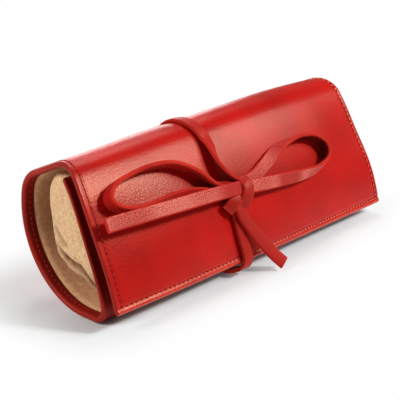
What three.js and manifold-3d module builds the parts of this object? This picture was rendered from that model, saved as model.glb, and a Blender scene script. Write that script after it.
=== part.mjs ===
// A leather jewelry roll, closed and tied with a flat leather lace.
//
// Millimetres. X runs along the roll, the flap faces -Y, Z is up, and the origin is the middle of
// the flat strip on which the roll rests.
//
// Seen from its end the cover is one strip wound into a loop: the inner panel rises behind the
// flap, turns at the toe into the base and back, bends at the shoulder into the roof, and bends at
// the crest into the flap, which hangs in front of the inner panel. The roof sags at the open left
// end and stands full and round at the right end.

import * as THREE from 'three';
import { mergeVertices } from 'three/addons/utils/BufferGeometryUtils.js';
import Module from 'manifold-3d';

// Cover
const ROLL_LENGTH = 210;
const ROLL_HEIGHT = 70.5;
const BASE_FLAT = 6;
const BACK_RADIUS = 44.5;
const SHOULDER_RADIUS = 15.5;
const SHOULDER_ANGLE = 8;
const CREST_RADIUS = 13;
const TOE_RADIUS = 8;
const TOE_LEAN = 76;
const FRONT_RADIUS = 144;
const FLAP_GAP = 5.2;
const FLAP_EDGE_HEIGHT = 8.25;
const TIP_DROP = 1.5;
const LEATHER = 1.8;
const LINING = 0.9;
const HEM_WIDTH = 8;
const HEM_SLOPE = 0.4;

// What the right end gains on the left end
const HEIGHT_GAIN = 6.5;
const CREST_GAIN = 6;
const SHOULDER_GAIN = 4.5;
const SHOULDER_TURN = -4;

// Pouch on the back of the inner panel
const POUCH_DEPTH = 17.5;
const POUCH_RISE = 7;
const POUCH_REACH = 43;
const POUCH_WALL = 1.6;
const POUCH_INSET = 6;
const POUCH_EDGE = 3.5;

// Zip in the mouth of the pouch
const ZIP_LENGTH = 168;
const MOUTH_WIDTH = 7;
const TAPE_WIDTH = 7.4;
const TAPE_THICKNESS = 0.8;
const TEETH_WIDTH = 2.1;
const TEETH_HEIGHT = 1.5;
const STOP_LENGTH = 3;
const SLIDER_LENGTH = 8;
const SLIDER_WIDTH = 7;
const SLIDER_WALL = 0.9;
const PULL_LENGTH = 12;
const PULL_WIDTH = 5;
const PULL_THICKNESS = 1.2;
const PULL_PIN = 1.2;

// Tie
const LACE_WIDTH = 7;
const LACE_THICKNESS = 2.2;
const LACE_EDGE = 0.5;
const TIE_X = -25;
const TIE_CUT = -8;
const FOLD_RELIEF = 4;
const CHANNEL_RAMP = 8;
const KNOT_X = -15;
const KNOT_RISE = 34;
const KNOT_SIZE = [11, 12, 5];

// Clearances and facets
const GAP = 0.3;
const TOE_STEPS = 3;
const BACK_STEPS = 11;
const SHOULDER_STEPS = 2;
const CREST_STEPS = 3;
const FRONT_STEPS = 9;

const COVER = LEATHER + GAP + LINING;
const LACE_LIFT = GAP + LACE_THICKNESS / 2;
const HALF_LENGTH = ROLL_LENGTH / 2;

const RED_LEATHER = { color: 0xb5211c, roughness: 0.42, metalness: 0 };
const RED_LACE = { color: 0xbf2a22, roughness: 0.5, metalness: 0 };
const SUEDE = { color: 0xc9a278, roughness: 0.95, metalness: 0 };
const PALE_SUEDE = { color: 0xd9b68d, roughness: 0.95, metalness: 0 };
const ZIP_CLOTH = { color: 0xb98f66, roughness: 0.9, metalness: 0 };
const BRASS = { color: 0xc8a24a, roughness: 0.35, metalness: 1 };

const wasm = await Module();
wasm.setup();

const radians = THREE.MathUtils.degToRad;
const flat = (y, z) => new THREE.Vector2(y, z);
const polar = (centre, radius, angle) =>
  flat(centre.x + radius * Math.cos(angle), centre.y + radius * Math.sin(angle));

// The section: circles that touch one another, so that every bend runs on smoothly. Fullness runs
// from 0 at the left end to 1 at the right end.
function coverSection(fullness) {
  const height = ROLL_HEIGHT + fullness * HEIGHT_GAIN;
  const crestRadius = CREST_RADIUS + fullness * CREST_GAIN;
  const shoulderRadius = SHOULDER_RADIUS + fullness * SHOULDER_GAIN;
  const shoulderStart = radians(SHOULDER_ANGLE + fullness * SHOULDER_TURN);
  const back = flat(BASE_FLAT / 2, BACK_RADIUS);
  const toe = flat(-BASE_FLAT / 2, TOE_RADIUS);
  const toeEnd = Math.PI / 2 + radians(TOE_LEAN);
  const front = polar(toe, TOE_RADIUS - FRONT_RADIUS, toeEnd);
  const flapRadius = FRONT_RADIUS + FLAP_GAP + COVER;
  const reach = flapRadius - crestRadius;
  const crestHeight = height - crestRadius;
  const crest = flat(front.x - Math.sqrt(reach ** 2 - (crestHeight - front.y) ** 2), crestHeight);
  const shoulder = polar(back, BACK_RADIUS - shoulderRadius, shoulderStart);
  const across = crest.clone().sub(shoulder);
  const roofNormal = across.angle() - Math.acos((shoulderRadius - crestRadius) / across.length());
  const crestEnd = crest.clone().sub(front).angle();
  const shoulderMiddle = (shoulderStart + roofNormal) / 2;
  return {
    back, toe, toeEnd, front, flapRadius, crest, crestRadius, crestEnd,
    shoulder, shoulderRadius, shoulderStart, shoulderMiddle, roofNormal,
  };
}

const section = coverSection(0);
const rightSection = coverSection(1);
const tieSection = coverSection((TIE_X + HALF_LENGTH) / ROLL_LENGTH);
const crestMiddle = (section.roofNormal + section.crestEnd) / 2;
const toeMiddle = (section.toeEnd + 1.5 * Math.PI) / 2;
const tipAngle = section.crestEnd + TIP_DROP / FRONT_RADIUS;

// Stations along the outer skin, each with its point and its outward normal.
function arcStations(centre, radius, from, to, steps) {
  return Array.from({ length: steps + 1 }, (_, i) => {
    const angle = from + ((to - from) * i) / steps;
    return { point: polar(centre, radius, angle), normal: polar(flat(0, 0), 1, angle) };
  });
}

// The stations of a panel whose two ends stand half a gap away from the folds that bound it.
function trimmed(stations, trimStart, trimEnd) {
  const first = stations[0];
  const last = stations[stations.length - 1];
  const along = (s) => flat(-s.normal.y, s.normal.x);
  if (trimStart) first.point.addScaledVector(along(first), GAP / 2);
  if (trimEnd) last.point.addScaledVector(along(last), -GAP / 2);
  return stations;
}

const innerStations = trimmed(
  [
    ...arcStations(section.front, FRONT_RADIUS, tipAngle, section.toeEnd, FRONT_STEPS),
    ...arcStations(section.toe, TOE_RADIUS, section.toeEnd, toeMiddle, TOE_STEPS).slice(1),
  ],
  false,
  true,
);

function wrapStations({ toe, back, shoulder, shoulderRadius, shoulderStart, shoulderMiddle }) {
  const stations = [
    ...arcStations(toe, TOE_RADIUS, toeMiddle, 1.5 * Math.PI, TOE_STEPS),
    ...arcStations(back, BACK_RADIUS, -Math.PI / 2, shoulderStart, BACK_STEPS),
    ...arcStations(shoulder, shoulderRadius, shoulderStart, shoulderMiddle, SHOULDER_STEPS).slice(1),
  ];
  return trimmed(stations, true, true);
}

function roofStations({ shoulder, shoulderRadius, shoulderMiddle, roofNormal, crest, crestRadius }) {
  const stations = [
    ...arcStations(shoulder, shoulderRadius, shoulderMiddle, roofNormal, SHOULDER_STEPS),
    ...arcStations(crest, crestRadius, roofNormal, crestMiddle, CREST_STEPS),
  ];
  return trimmed(stations, true, true);
}

const flapEnd = Math.PI - Math.asin((FLAP_EDGE_HEIGHT - section.front.y) / section.flapRadius);
const flapLength = (flapEnd - tieSection.crestEnd) * section.flapRadius;

function flapStations({ crest, crestRadius, crestEnd, front, flapRadius }) {
  const stations = [
    ...arcStations(crest, crestRadius, crestMiddle, crestEnd, CREST_STEPS),
    ...arcStations(front, flapRadius, crestEnd, flapEnd, FRONT_STEPS).slice(1),
  ];
  return trimmed(stations, true, false);
}

// The stations of a panel at its two ends, and between them at a place along the roll.
const innerEnds = [innerStations, innerStations];
const wrapEnds = [wrapStations(section), wrapStations(rightSection)];
const roofEnds = [roofStations(section), roofStations(rightSection)];
const flapEnds = [flapStations(section), flapStations(rightSection)];

function stationsAt(x, [leftEnd, rightEnd]) {
  const share = (x + HALF_LENGTH) / ROLL_LENGTH;
  return leftEnd.map((s, i) => ({
    point: s.point.clone().lerp(rightEnd[i].point, share),
    normal: s.normal.clone().lerp(rightEnd[i].normal, share).normalize(),
  }));
}

// Meshes
function closedGeometry(points, triangles) {
  const geometry = new THREE.BufferGeometry();
  geometry.setAttribute('position', new THREE.Float32BufferAttribute(points.flatMap((p) => p.toArray()), 3));
  let volume = 0;
  for (const [a, b, c] of triangles) {
    volume += points[a].dot(points[b].clone().cross(points[c]));
  }
  const facing = volume < 0 ? triangles.map(([a, b, c]) => [a, c, b]) : triangles;
  geometry.setIndex(facing.flat());
  return geometry;
}

// A closed skin over rings of points that all hold the same number of corners.
function skin(rings, cap = fan(rings[0].length)) {
  const corners = rings[0].length;
  const triangles = [];
  for (let i = 0; i + 1 < rings.length; i += 1) {
    for (let j = 0; j < corners; j += 1) {
      const a = i * corners + j;
      const b = i * corners + ((j + 1) % corners);
      triangles.push([a, b, b + corners], [a, b + corners, a + corners]);
    }
  }
  const last = (rings.length - 1) * corners;
  for (const [a, b, c] of cap) triangles.push([a, c, b], [last + a, last + b, last + c]);
  return closedGeometry(rings.flat(), triangles);
}

// The triangles that close a convex ring.
function fan(corners) {
  return Array.from({ length: corners - 2 }, (_, i) => [0, i + 1, i + 2]);
}

// A curved panel: stations along its section at both ends, columns across its length.
function panel(ends, columns, outerDepth, innerDepth) {
  const rows = ends[0].length;
  const points = [];
  const place = (s, x, depth) => {
    const p = s.point.clone().addScaledVector(s.normal, -depth);
    points.push(new THREE.Vector3(x, p.x, p.y + channelLift(x, s)));
  };
  for (const x of columns) stationsAt(x, ends).forEach((s) => place(s, x, outerDepth));
  for (const x of columns) stationsAt(x, ends).forEach((s) => place(s, x, innerDepth(x)));
  const layer = columns.length * rows;
  const triangles = [];
  const quad = (a, b, c, d) => triangles.push([a, b, c], [a, c, d]);
  for (let i = 0; i + 1 < columns.length; i += 1) {
    for (let j = 0; j + 1 < rows; j += 1) {
      const a = i * rows + j;
      quad(a, a + 1, a + rows + 1, a + rows);
      quad(a + layer, a + layer + rows, a + layer + rows + 1, a + layer + 1);
    }
    const low = i * rows;
    const high = low + rows - 1;
    quad(low, low + rows, low + rows + layer, low + layer);
    quad(high, high + layer, high + rows + layer, high + rows);
  }
  const lastColumn = (columns.length - 1) * rows;
  for (let j = 0; j + 1 < rows; j += 1) {
    quad(j, j + layer, j + 1 + layer, j + 1);
    const b = lastColumn + j;
    quad(b, b + 1, b + 1 + layer, b + layer);
  }
  return closedGeometry(points, triangles);
}

// Where the tie passes under the base, it bites into the cover, so that the roll rests on its base.
function channelLift(x, station) {
  const depth = 2 * GAP + LACE_THICKNESS - station.point.y;
  const aside = Math.abs(x - TIE_X) - LACE_WIDTH / 2 - 2 * GAP;
  if (depth <= 0 || station.normal.y > -0.5 || aside >= CHANNEL_RAMP) return 0;
  return depth * Math.min(1, 1 - aside / CHANNEL_RAMP);
}

const channelEdge = LACE_WIDTH / 2 + 2 * GAP;
const channelColumns = [
  TIE_X - channelEdge - CHANNEL_RAMP,
  TIE_X - channelEdge,
  TIE_X + channelEdge,
  TIE_X + channelEdge + CHANNEL_RAMP,
];
const twistColumns = [0.25, 0.6].map((share) => THREE.MathUtils.lerp(TIE_X, HALF_LENGTH, share));
const columnsInside = [(TIE_X - HALF_LENGTH) / 2, ...channelColumns, ...twistColumns];

// Leather turns over at both ends of the roll, and the lining lies between the two hems.
function leatherPanel(ends, inside) {
  const hem = HALF_LENGTH - HEM_WIDTH;
  const columns = [-HALF_LENGTH, -hem, -hem + HEM_SLOPE, ...inside, hem - HEM_SLOPE, hem, HALF_LENGTH];
  return panel(ends, columns, 0, (x) => (Math.abs(x) >= hem ? COVER : LEATHER));
}

function liningPanel(ends, inside) {
  const end = HALF_LENGTH - HEM_WIDTH - HEM_SLOPE - GAP;
  return panel(ends, [-end, ...inside, end], LEATHER + GAP, () => COVER);
}

// The lace: a flat strap with broken edges, swept along points with its broad face to a normal.
function strap(stations) {
  const w = LACE_WIDTH / 2;
  const t = LACE_THICKNESS / 2;
  const outline = [
    [-w + LACE_EDGE, -t], [w - LACE_EDGE, -t], [w, -t + LACE_EDGE], [w, t - LACE_EDGE],
    [w - LACE_EDGE, t], [-w + LACE_EDGE, t], [-w, t - LACE_EDGE], [-w, -t + LACE_EDGE],
  ];
  const rings = stations.map((s, i) => {
    const before = stations[Math.max(0, i - 1)].centre;
    const after = stations[Math.min(stations.length - 1, i + 1)].centre;
    const along = after.clone().sub(before).normalize();
    const side = along.clone().cross(s.normal).normalize();
    const face = side.clone().cross(along);
    return outline.map(([a, b]) => s.centre.clone().addScaledVector(side, a).addScaledVector(face, b));
  });
  return skin(rings);
}

// A lace that lies round the section at one place along the roll.
function wrapStrap(stations) {
  return strap(
    stations.map((s) => {
      const p = s.point.clone().addScaledVector(s.normal, LACE_LIFT);
      return {
        centre: new THREE.Vector3(TIE_X, p.x, Math.max(p.y, LACE_LIFT)),
        normal: new THREE.Vector3(0, s.normal.x, s.normal.y),
      };
    }),
  );
}

// Stations of a wrap between two distances from the folds that bound it.
function cutBack(stations, startCut, endCut) {
  const lengths = [0];
  for (let i = 1; i < stations.length; i += 1) {
    lengths.push(lengths[i - 1] + stations[i].point.distanceTo(stations[i - 1].point));
  }
  const total = lengths[lengths.length - 1];
  const at = (want) => {
    const i = Math.max(1, lengths.findIndex((l) => l >= want));
    const share = (want - lengths[i - 1]) / (lengths[i] - lengths[i - 1]);
    return {
      point: stations[i - 1].point.clone().lerp(stations[i].point, share),
      normal: stations[i - 1].normal.clone().lerp(stations[i].normal, share).normalize(),
    };
  };
  const kept = stations.filter((_, i) => lengths[i] > startCut + 1 && lengths[i] < total - endCut - 1);
  return [at(startCut), ...kept, at(total - endCut)];
}

// A point over the flap and crest: x along the roll, rise from the flap's lower edge, height off the skin.
function overFlap(x, rise, height) {
  const past = rise - flapLength;
  const p = past > 0
    ? polar(tieSection.crest, tieSection.crestRadius + height, tieSection.crestEnd - past / tieSection.crestRadius)
    : polar(section.front, section.flapRadius + height, flapEnd - rise / section.flapRadius);
  return new THREE.Vector3(x, p.x, p.y);
}

function flapNormal(point) {
  const seen = flat(point.y, point.z);
  const onCrest = seen.clone().sub(tieSection.crest).angle() < tieSection.crestEnd;
  const out = seen.sub(onCrest ? tieSection.crest : section.front).normalize();
  return new THREE.Vector3(0, out.x, out.y);
}

const ROLL_AXIS = new THREE.Vector3(1, 0, 0);
const squareToRoll = (point, along) => along.clone().cross(ROLL_AXIS);

// A lace over the flap, through points of [x, rise, height, roll]. Roll 0 lies flat, 90 is on edge.
function flapStrap(route, steps, normalAt = flapNormal) {
  const curve = new THREE.CatmullRomCurve3(route.map(([x, rise, height]) => overFlap(x, rise, height)));
  const stations = Array.from({ length: steps + 1 }, (_, i) => {
    const place = (i / steps) * (route.length - 1);
    const from = Math.min(Math.floor(place), route.length - 2);
    const roll = THREE.MathUtils.lerp(route[from][3], route[from + 1][3], place - from);
    const centre = curve.getPoint(i / steps);
    const along = curve.getTangent(i / steps);
    const normal = normalAt(centre, along);
    normal.addScaledVector(along, -normal.dot(along)).normalize();
    return { centre, normal: normal.applyAxisAngle(along, radians(roll)) };
  });
  return strap(stations);
}

// Booleans
function toManifold(geometry) {
  const bare = new THREE.BufferGeometry();
  bare.setAttribute('position', geometry.getAttribute('position').clone());
  if (geometry.index) bare.setIndex(geometry.index.clone());
  const merged = mergeVertices(bare, 1e-4);
  return new wasm.Manifold(
    new wasm.Mesh({
      numProp: 3,
      vertProperties: new Float32Array(merged.getAttribute('position').array),
      triVerts: new Uint32Array(merged.index.array),
    }),
  );
}

function cut(geometry, ...tools) {
  const result = tools.reduce((body, tool) => body.subtract(toManifold(tool)), toManifold(geometry));
  const mesh = result.getMesh();
  const out = new THREE.BufferGeometry();
  out.setAttribute('position', new THREE.Float32BufferAttribute(mesh.vertProperties, 3));
  out.setIndex(Array.from(mesh.triVerts));
  return out;
}

// The pouch: a D on the inner panel's lining. Arc is the distance down from the panel's tip.
function behindPanel(arc, depth) {
  return polar(section.front, FRONT_RADIUS - COVER - GAP - depth, tipAngle + arc / FRONT_RADIUS);
}

const landStart = behindPanel(-0.3 * POUCH_RISE, 0.7 * POUCH_DEPTH);
const landEnd = behindPanel(0.33 * POUCH_REACH, POUCH_DEPTH);

function pouchOutline() {
  const start = behindPanel(1, 0);
  const shape = new THREE.Shape();
  shape.moveTo(start.x, start.y);
  shape.splineThru([
    behindPanel(-0.6 * POUCH_RISE, -0.4),
    behindPanel(-POUCH_RISE, 0.12 * POUCH_DEPTH),
    behindPanel(-POUCH_RISE, 0.32 * POUCH_DEPTH),
    landStart,
  ]);
  shape.lineTo(landEnd.x, landEnd.y);
  shape.splineThru([
    behindPanel(0.48 * POUCH_REACH, POUCH_DEPTH),
    behindPanel(0.68 * POUCH_REACH, 0.8 * POUCH_DEPTH),
    behindPanel(0.86 * POUCH_REACH, 0.4 * POUCH_DEPTH),
    behindPanel(POUCH_REACH, 0),
  ]);
  for (let i = 1; i < 5; i += 1) {
    const back = behindPanel(THREE.MathUtils.lerp(POUCH_REACH, 1, i / 5), 0);
    shape.lineTo(back.x, back.y);
  }
  return shape.getPoints(3);
}

// A pouch body: its outline drawn in towards the middle by an amount at stations of [x, inset].
function pouchBody(stations) {
  const outline = pouchOutline();
  const middle = behindPanel(0.36 * POUCH_REACH, 0.5 * POUCH_DEPTH);
  const faces = THREE.ShapeUtils.triangulateShape(outline, []);
  const cap = THREE.ShapeUtils.isClockWise(outline) ? faces.map(([a, b, c]) => [c, b, a]) : faces;
  const rings = stations.map(([x, inset]) => {
    const share = (2 * inset) / POUCH_DEPTH;
    return outline.map((p) => p.clone().lerp(middle, share)).map((p) => new THREE.Vector3(x, p.x, p.y));
  });
  return skin(rings, cap);
}

// The zip's own frame: X along the roll, Y across the land, Z out of the pouch.
const zipAcross = landEnd.clone().sub(landStart).normalize();
const zipOut = flat(-zipAcross.y, zipAcross.x);
const zipMiddle = landStart.clone().lerp(landEnd, 0.5);
if (zipOut.dot(behindPanel(0, 0).sub(zipMiddle)) > 0) zipOut.negate();
const zipFrame = new THREE.Matrix4().set(
  1, 0, 0, 0,
  0, zipAcross.x, zipOut.x, zipMiddle.x,
  0, zipAcross.y, zipOut.y, zipMiddle.y,
  0, 0, 0, 1,
);

function zipBox(length, width, height, x, across, out) {
  const box = new THREE.BoxGeometry(length, width, height);
  box.translate(x, across, out + height / 2);
  return box;
}

const inZip = (geometry) => geometry.applyMatrix4(zipFrame);
const teethTop = GAP + TAPE_THICKNESS + GAP + TEETH_HEIGHT;
const sliderX = -ZIP_LENGTH / 2 + STOP_LENGTH + GAP + SLIDER_LENGTH / 2;

function zipTape(sign) {
  return inZip(zipBox(ZIP_LENGTH, TAPE_WIDTH, TAPE_THICKNESS, 0, sign * (TAPE_WIDTH + GAP) / 2, GAP));
}

function zipTeeth(sign) {
  const across = (sign * (TEETH_WIDTH + GAP)) / 2;
  const run = ZIP_LENGTH - 2 * STOP_LENGTH - 2 * GAP;
  return inZip(zipBox(run, TEETH_WIDTH, TEETH_HEIGHT, 0, across, 2 * GAP + TAPE_THICKNESS));
}

function zipStop(sign) {
  const x = (sign * (ZIP_LENGTH - STOP_LENGTH)) / 2;
  return inZip(zipBox(STOP_LENGTH, 2 * TEETH_WIDTH, TEETH_HEIGHT, x, 0, 2 * GAP + TAPE_THICKNESS));
}

// The slider straddles the teeth, and its bridge carries the pull's pin.
function zipSlider() {
  const foot = 2 * GAP + TAPE_THICKNESS;
  const inside = 2 * TEETH_WIDTH + 3 * GAP;
  const body = zipBox(SLIDER_LENGTH, SLIDER_WIDTH, teethTop + GAP + SLIDER_WALL - foot, sliderX, 0, foot);
  const tunnel = zipBox(2 * SLIDER_LENGTH, inside, teethTop + GAP, sliderX, 0, 0);
  return inZip(cut(body, tunnel));
}

const bridgeFoot = teethTop + GAP + SLIDER_WALL + GAP;
const bridgeInside = PULL_PIN + 2 * GAP;

function pullBridge() {
  const outside = bridgeInside + 2 * SLIDER_WALL;
  const height = PULL_PIN + 2 * GAP + SLIDER_WALL;
  const arch = zipBox(outside, 2, height, sliderX, 0, bridgeFoot);
  const eye = zipBox(bridgeInside, 4, height - SLIDER_WALL, sliderX, 0, bridgeFoot);
  const feet = zipBox(bridgeInside, 4, GAP, sliderX, 0, bridgeFoot - GAP);
  return inZip(cut(arch, eye, feet));
}

// The pull: a tab with a pin at its end that passes under the bridge.
function zipPull() {
  const windowWidth = 2 + 2 * GAP;
  const lift = bridgeFoot + GAP;
  const tab = zipBox(PULL_LENGTH, PULL_WIDTH, PULL_THICKNESS, sliderX + (PULL_LENGTH - PULL_PIN) / 2, 0, lift);
  const hole = zipBox(2.4, windowWidth, 4, sliderX + PULL_PIN / 2 + 1.2, 0, lift - 1);
  return inZip(cut(tab, hole));
}

// The knot is a flattened bead under the band that pulls the bow together.
function knotBead() {
  const bead = new THREE.SphereGeometry(0.5, 14, 10);
  bead.scale(...KNOT_SIZE);
  const centre = overFlap(KNOT_X, KNOT_RISE, GAP + KNOT_SIZE[2] / 2);
  const out = flapNormal(centre);
  const up = out.clone().cross(ROLL_AXIS);
  const frame = new THREE.Matrix4().makeBasis(ROLL_AXIS, up, out).setPosition(centre);
  return mergeVertices(new THREE.BufferGeometry().copy(bead).deleteAttribute('uv').deleteAttribute('normal'), 1e-3)
    .applyMatrix4(frame);
}

const KNOT_TOP = GAP + KNOT_SIZE[2];
const bandHeight = KNOT_TOP + LACE_LIFT;

const crestRise = (tieSection.crestEnd - crestMiddle) * tieSection.crestRadius;

const TIE_FRONT_UPPER = [
  [TIE_X, flapLength + crestRise - FOLD_RELIEF, LACE_LIFT, 0],
  [-23.6, flapLength, LACE_LIFT, 0],
  [-20.6, 56, 1.8, 0],
  [-17, 48, 2.4, 0],
  [-14.4, 41.8, 3, 0],
];
const KNOT_BAND = [
  [-13.2, 40.6, 5.8, 0],
  [-13.8, 37.6, bandHeight + 0.5, 0],
  [-15, 34, bandHeight + 0.9, 0],
  [-16.4, 30.4, bandHeight + 0.4, 0],
  [-17.6, 27.4, 5.2, 0],
];
const KNOT_STUB = [
  [-23.4, 29.3, 4.9, 8],
  [-26, 27.3, 4.7, 4],
  [-29.6, 24.3, 1.3, 0],
];
const TIE_TAIL_LEFT = [
  [-21.4, 35.6, 6.1, 0],
  [-42, 36.6, 7.3, 0],
  [-72, 37.8, 7.8, 0],
  [-101, 39.2, 4.8, 0],
];
const BOW_LOOP_LEFT = [
  [-22.8, 42.8, 4, 55],
  [-31, 49, 4.2, 70],
  [-46, 56.6, 4.3, 85],
  [-66, 58.6, 4.3, 90],
  [-87, 56.8, 4.3, 90],
  [-95.5, 51.8, 4.3, 90],
  [-92.5, 46, 4.3, 88],
  [-80, 43, 4.1, 78],
  [-60, 39.6, 3.5, 40],
  [-40, 37, 2.6, 18],
  [-21.6, 35.6, 1.9, 0],
];
const BOW_LOOP_RIGHT = [
  [-7.4, 37.4, 2, 0],
  [0.6, 38.9, 2.4, -6],
  [11, 42.8, 2.8, -22],
  [19.6, 46.8, 3.5, -46],
  [27.5, 49.2, 4, -68],
  [39, 50.4, 4.2, -84],
  [51, 49, 4.2, -90],
  [58.6, 45.2, 4.2, -90],
  [61.4, 40.2, 4.2, -90],
  [58.4, 34.6, 4.2, -84],
  [48, 30.8, 4.3, -58],
  [33.4, 30.6, 4.6, -34],
  [20, 31.6, 4.9, -20],
  [5, 32.7, 5.4, -8],
  [-7.4, 33.9, 5.6, 0],
];
const TIE_TAIL_RIGHT = [
  [-15.1, 24.9, 3.8, 0],
  [-14.2, 17.6, 3.6, 0],
  [-11.6, 8.6, 4.4, 0],
  [-6.6, -0.2, 6.2, 0],
  [-1.6, -6.6, 8.6, 0],
];
const TIE_FRONT_LOWER = [
  [-20.2, 25.4, LACE_LIFT, 0],
  [-21.8, 12, LACE_LIFT, 0],
  [-21.6, 2.4, LACE_LIFT, 0],
  [-22.4, -3.1, 0.7, 0],
  [-24, -5.4, -1.9, 0],
  [TIE_X, -5.7, -6, 0],
  [TIE_X, -4.5, -11.6, 0],
];

// Assembly
const pouchLength = ROLL_LENGTH - 2 * POUCH_INSET;

function pouchShell() {
  const end = pouchLength / 2;
  const body = pouchBody([
    [-end, POUCH_EDGE],
    [-end + 0.3 * POUCH_EDGE, 0.3 * POUCH_EDGE],
    [-end + POUCH_EDGE, 0],
    [end - POUCH_EDGE, 0],
    [end - 0.3 * POUCH_EDGE, 0.3 * POUCH_EDGE],
    [end, POUCH_EDGE],
  ]);
  const wall = end - POUCH_EDGE - POUCH_WALL;
  const cavity = pouchBody([[-wall, POUCH_WALL], [wall, POUCH_WALL]]);
  const mouth = inZip(zipBox(ZIP_LENGTH - 4, MOUTH_WIDTH, 12, 0, 0, -6));
  return cut(body, cavity, mouth);
}

const group = new THREE.Group();
group.name = 'jewelry_roll';

function add(name, geometry, finish) {
  const mesh = new THREE.Mesh(geometry, new THREE.MeshStandardMaterial(finish));
  mesh.name = name;
  group.add(mesh);
}

add('inner_panel_leather', leatherPanel(innerEnds, []), RED_LEATHER);
add('inner_panel_lining', liningPanel(innerEnds, []), SUEDE);
add('wrap_leather', leatherPanel(wrapEnds, columnsInside), RED_LEATHER);
add('wrap_lining', liningPanel(wrapEnds, columnsInside), SUEDE);
add('roof_leather', leatherPanel(roofEnds, columnsInside), RED_LEATHER);
add('roof_lining', liningPanel(roofEnds, columnsInside), SUEDE);
add('flap_leather', leatherPanel(flapEnds, columnsInside), RED_LEATHER);
add('flap_lining', liningPanel(flapEnds, columnsInside), SUEDE);

add('pouch_shell', pouchShell(), PALE_SUEDE);
add('zip_tape_front', zipTape(-1), ZIP_CLOTH);
add('zip_tape_back', zipTape(1), ZIP_CLOTH);
add('zip_teeth_front', zipTeeth(-1), BRASS);
add('zip_teeth_back', zipTeeth(1), BRASS);
add('zip_stop_left', zipStop(-1), BRASS);
add('zip_stop_right', zipStop(1), BRASS);
add('zip_slider', zipSlider(), BRASS);
add('zip_pull_bridge', pullBridge(), BRASS);
add('zip_pull', zipPull(), BRASS);

const wrapTie = stationsAt(TIE_X, wrapEnds).filter((s) => s.point.x > TIE_CUT);
add('tie_back', wrapStrap(cutBack(wrapTie, 0, FOLD_RELIEF)), RED_LACE);
add('tie_roof', wrapStrap(cutBack(stationsAt(TIE_X, roofEnds), FOLD_RELIEF, FOLD_RELIEF)), RED_LACE);
add('tie_front_upper', flapStrap(TIE_FRONT_UPPER, 14), RED_LACE);
add('tie_front_lower', flapStrap(TIE_FRONT_LOWER, 22, squareToRoll), RED_LACE);
add('knot_bead', knotBead(), RED_LACE);
add('knot_band', flapStrap(KNOT_BAND, 10), RED_LACE);
add('knot_stub', flapStrap(KNOT_STUB, 8), RED_LACE);
add('bow_loop_left', flapStrap(BOW_LOOP_LEFT, 40), RED_LACE);
add('bow_loop_right', flapStrap(BOW_LOOP_RIGHT, 36), RED_LACE);
add('tie_tail_left', flapStrap(TIE_TAIL_LEFT, 16), RED_LACE);
add('tie_tail_right', flapStrap(TIE_TAIL_RIGHT, 12), RED_LACE);

export default group;
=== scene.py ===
"""A red leather jewelry roll, closed and tied with a flat leather lace, on a white floor.

Shapes are worked out in millimetres in the frame of the solids and scaled to metres when a mesh is
made. X runs along the roll, the flap faces -Y and Z is up.
"""

import math

import bpy
import numpy as np
from mathutils import Euler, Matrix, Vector, noise


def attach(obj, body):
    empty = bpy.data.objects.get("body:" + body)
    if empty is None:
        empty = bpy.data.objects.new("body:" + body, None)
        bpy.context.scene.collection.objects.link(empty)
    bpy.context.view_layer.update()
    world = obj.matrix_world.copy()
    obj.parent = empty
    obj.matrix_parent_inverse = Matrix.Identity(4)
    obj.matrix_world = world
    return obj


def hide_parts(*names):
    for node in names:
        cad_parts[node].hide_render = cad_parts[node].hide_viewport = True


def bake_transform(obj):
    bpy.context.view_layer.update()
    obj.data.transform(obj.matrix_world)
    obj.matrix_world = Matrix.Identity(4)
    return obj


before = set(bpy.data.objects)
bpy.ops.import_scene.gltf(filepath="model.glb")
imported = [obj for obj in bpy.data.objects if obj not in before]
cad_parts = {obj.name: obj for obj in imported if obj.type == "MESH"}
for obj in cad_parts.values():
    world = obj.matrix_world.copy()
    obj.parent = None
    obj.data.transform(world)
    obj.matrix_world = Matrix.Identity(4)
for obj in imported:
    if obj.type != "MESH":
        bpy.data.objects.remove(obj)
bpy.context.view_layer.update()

MM = 0.001

# Cover
ROLL_LENGTH = 210.0
ROLL_HEIGHT = 70.5
BASE_FLAT = 6.0
BACK_RADIUS = 44.5
SHOULDER_RADIUS = 15.5
SHOULDER_ANGLE = math.radians(8.0)
CREST_RADIUS = 13.0
TOE_RADIUS = 8.0
TOE_LEAN = math.radians(76.0)
FRONT_RADIUS = 144.0
FLAP_GAP = 5.2
FLAP_EDGE_HEIGHT = 8.25
TIP_DROP = -0.8
TIP_RISE = 3.4
POUCH_DROP = 1.5
PANEL_THICKNESS = 1.7
FLAP_THICKNESS = 2.0
FOOT_SLIDE = 2.6
FRONT_SLIDE = 2.0
FAR_SLIDE = 1.6
FRONT_PRESS = 1.7
FAR_PRESS = 2.4
ROOF_SWELL = 0.9
ROOF_SLACK = 0.7
# Width of the band of painted sheen along the flap's lower edge
SHEEN_BAND_WIDTH = 2.5
FLAP_DROP = 2.2
LEATHER = 1.8
COVER = 3.0
HEM_WIDTH = 5.6
STITCH_INSET = 3.4
STITCH_PITCH = 2.8

# What the full right end of the cover gains on the sagging left end
HEIGHT_GAIN = 6.5
CREST_GAIN = 6.0
SHOULDER_GAIN = 4.5
SHOULDER_TURN = math.radians(-4.0)
FULLNESS_POWER = 1.5

# Pouch on the back of the inner panel
POUCH_DEPTH = 17.5
POUCH_RISE = 7.0
POUCH_REACH = 43.0
POUCH_INSET = 4.6
POUCH_EDGE = 3.0
POUCH_FRONT = -1.2
POUCH_DOME = 2.6
POUCH_FLARE = (84.0, 96.0)

# Zip in the mouth of the pouch
ZIP_LENGTH = 168.0
TAPE_WIDTH = 7.4
TAPE_THICKNESS = 0.8
TOOTH_PITCH = 2.0
TOOTH_LENGTH = 0.9
TEETH_WIDTH = 2.1
TEETH_HEIGHT = 1.5
STOP_LENGTH = 3.0

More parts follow.
